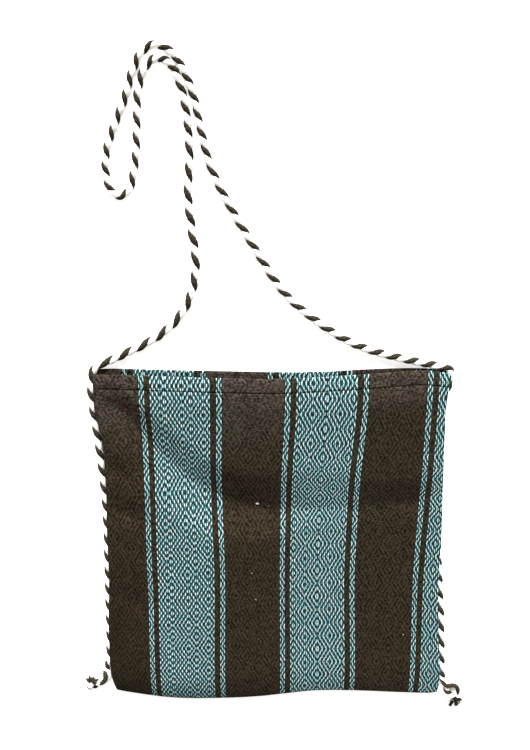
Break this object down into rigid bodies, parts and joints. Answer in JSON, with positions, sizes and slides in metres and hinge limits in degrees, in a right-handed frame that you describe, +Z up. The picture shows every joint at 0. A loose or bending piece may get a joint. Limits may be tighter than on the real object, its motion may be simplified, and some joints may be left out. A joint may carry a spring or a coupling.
{
  "type": "rope handle bag",
  "caption": "Flat handwoven shoulder bag in striped diamond twill, with an open hemmed mouth and a twisted rope that edges its side seams, forms the strap and ends in frayed knots.",
  "frame": {"origin": "on the surface that the bag lies on, under the middle of the bag without its strap", "axes": "+X to the right of the front panel, +Y towards the mouth and strap, +Z up out of the front panel"},
  "size_m": [0.4367, 0.706, 0.0135],
  "materials": {
    "woven_cloth": "matte handwoven twill with coloured warp stripes",
    "twisted_rope": "matte twisted rope of a dark and a pale ply"
  },
  "bodies": {
    "root": {"cloth_body": "woven_cloth", "left_seam_rope": "twisted_rope", "strap_rope": "twisted_rope", "right_seam_rope": "twisted_rope", "left_knot": "twisted_rope", "right_knot": "twisted_rope"}
  },
  "joints": []
}
